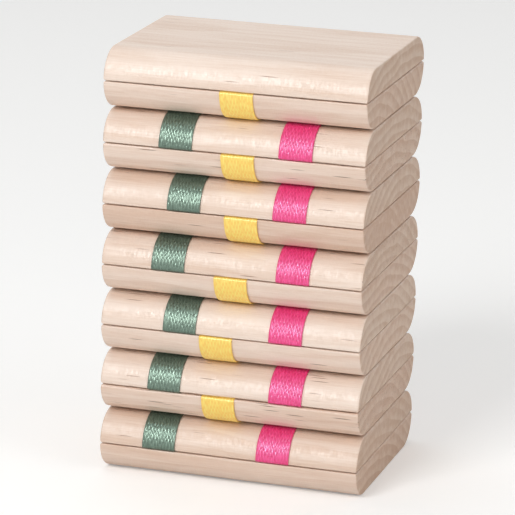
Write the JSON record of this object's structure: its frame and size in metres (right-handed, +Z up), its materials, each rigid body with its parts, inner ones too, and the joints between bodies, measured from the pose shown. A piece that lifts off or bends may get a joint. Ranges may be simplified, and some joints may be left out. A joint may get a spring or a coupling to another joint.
{
  "type": "jacobs ladder toy",
  "caption": "Stack of round-nosed wooden blocks, each two slabs glued over satin ribbons that hinge it to its neighbours, so the stack unfolds end over end into a ladder.",
  "frame": {"origin": "on the floor under the middle of the folded stack", "axes": "+Z up the stack, +X across the ribbons to the right seen from the front, front at -Y"},
  "size_m": [0.057, 0.0456, 0.092],
  "materials": {
    "upper_wood": "sanded, bare",
    "lower_wood": "sanded, bare",
    "green_satin": "satin",
    "yellow_satin": "satin",
    "pink_satin": "satin"
  },
  "bodies": {
    "block_1": {"block_1_upper_slab": "upper_wood", "block_1_lower_slab": "lower_wood", "green_ribbon_1": "green_satin", "yellow_ribbon_1": "yellow_satin", "pink_ribbon_1": "pink_satin"},
    "fold_1": {"green_fold_1": "green_satin", "yellow_fold_1": "yellow_satin", "pink_fold_1": "pink_satin"},
    "block_2": {"block_2_upper_slab": "upper_wood", "block_2_lower_slab": "lower_wood", "green_ribbon_2": "green_satin", "yellow_ribbon_2": "yellow_satin", "pink_ribbon_2": "pink_satin"},
    "fold_2": {"green_fold_2": "green_satin", "yellow_fold_2": "yellow_satin", "pink_fold_2": "pink_satin"},
    "block_3": {"block_3_upper_slab": "upper_wood", "block_3_lower_slab": "lower_wood", "green_ribbon_3": "green_satin", "yellow_ribbon_3": "yellow_satin", "pink_ribbon_3": "pink_satin"},
    "fold_3": {"green_fold_3": "green_satin", "yellow_fold_3": "yellow_satin", "pink_fold_3": "pink_satin"},
    "block_4": {"block_4_upper_slab": "upper_wood", "block_4_lower_slab": "lower_wood", "green_ribbon_4": "green_satin", "yellow_ribbon_4": "yellow_satin", "pink_ribbon_4": "pink_satin"},
    "fold_4": {"green_fold_4": "green_satin", "yellow_fold_4": "yellow_satin", "pink_fold_4": "pink_satin"},
    "block_5": {"block_5_upper_slab": "upper_wood", "block_5_lower_slab": "lower_wood", "green_ribbon_5": "green_satin", "yellow_ribbon_5": "yellow_satin", "pink_ribbon_5": "pink_satin"},
    "fold_5": {"green_fold_5": "green_satin", "yellow_fold_5": "yellow_satin", "pink_fold_5": "pink_satin"},
    "block_6": {"block_6_upper_slab": "upper_wood", "block_6_lower_slab": "lower_wood", "green_ribbon_6": "green_satin", "yellow_ribbon_6": "yellow_satin", "pink_ribbon_6": "pink_satin"},
    "fold_6": {"green_fold_6": "green_satin", "yellow_fold_6": "yellow_satin", "pink_fold_6": "pink_satin"},
    "block_7": {"block_7_upper_slab": "upper_wood", "block_7_lower_slab": "lower_wood", "green_ribbon_7": "green_satin", "yellow_ribbon_7": "yellow_satin", "pink_ribbon_7": "pink_satin"}
  },
  "joints": [
    {"name": "gap_1_open", "type": "hinge", "parent": "block_1", "child": "fold_1", "pos_m": [0, -0.0161, 0.0856], "axis": [-1, 0, 0], "range_deg": [0, 90], "deforming": ["green_fold_1", "yellow_fold_1", "pink_fold_1"]},
    {"name": "gap_1_roll", "type": "hinge", "parent": "fold_1", "child": "block_2", "pos_m": [0, -0.0161, 0.0724], "axis": [-1, 0, 0], "range_deg": [0, 90]},
    {"name": "gap_2_open", "type": "hinge", "parent": "block_2", "child": "fold_2", "pos_m": [0, 0.0161, 0.0724], "axis": [1, 0, 0], "range_deg": [0, 90], "deforming": ["green_fold_2", "yellow_fold_2", "pink_fold_2"]},
    {"name": "gap_2_roll", "type": "hinge", "parent": "fold_2", "child": "block_3", "pos_m": [0, 0.0161, 0.0592], "axis": [1, 0, 0], "range_deg": [0, 90]},
    {"name": "gap_3_open", "type": "hinge", "parent": "block_3", "child": "fold_3", "pos_m": [0, -0.0161, 0.0592], "axis": [-1, 0, 0], "range_deg": [0, 90], "deforming": ["green_fold_3", "yellow_fold_3", "pink_fold_3"]},
    {"name": "gap_3_roll", "type": "hinge", "parent": "fold_3", "child": "block_4", "pos_m": [0, -0.0161, 0.046], "axis": [-1, 0, 0], "range_deg": [0, 90]},
    {"name": "gap_4_open", "type": "hinge", "parent": "block_4", "child": "fold_4", "pos_m": [0, 0.0161, 0.046], "axis": [1, 0, 0], "range_deg": [0, 90], "deforming": ["green_fold_4", "yellow_fold_4", "pink_fold_4"]},
    {"name": "gap_4_roll", "type": "hinge", "parent": "fold_4", "child": "block_5", "pos_m": [0, 0.0161, 0.0328], "axis": [1, 0, 0], "range_deg": [0, 90]},
    {"name": "gap_5_open", "type": "hinge", "parent": "block_5", "child": "fold_5", "pos_m": [0, -0.0161, 0.0328], "axis": [-1, 0, 0], "range_deg": [0, 90], "deforming": ["green_fold_5", "yellow_fold_5", "pink_fold_5"]},
    {"name": "gap_5_roll", "type": "hinge", "parent": "fold_5", "child": "block_6", "pos_m": [0, -0.0161, 0.0196], "axis": [-1, 0, 0], "range_deg": [0, 90]},
    {"name": "gap_6_open", "type": "hinge", "parent": "block_6", "child": "fold_6", "pos_m": [0, 0.0161, 0.0196], "axis": [1, 0, 0], "range_deg": [0, 90], "deforming": ["green_fold_6", "yellow_fold_6", "pink_fold_6"]},
    {"name": "gap_6_roll", "type": "hinge", "parent": "fold_6", "child": "block_7", "pos_m": [0, 0.0161, 0.0064], "axis": [1, 0, 0], "range_deg": [0, 90]}
  ],
  "couplings": [
    {"joint": "gap_1_roll", "follows": "gap_1_open", "ratio": 1},
    {"joint": "gap_2_roll", "follows": "gap_2_open", "ratio": 1},
    {"joint": "gap_3_roll", "follows": "gap_3_open", "ratio": 1},
    {"joint": "gap_4_roll", "follows": "gap_4_open", "ratio": 1},
    {"joint": "gap_5_roll", "follows": "gap_5_open", "ratio": 1},
    {"joint": "gap_6_roll", "follows": "gap_6_open", "ratio": 1}
  ]
}
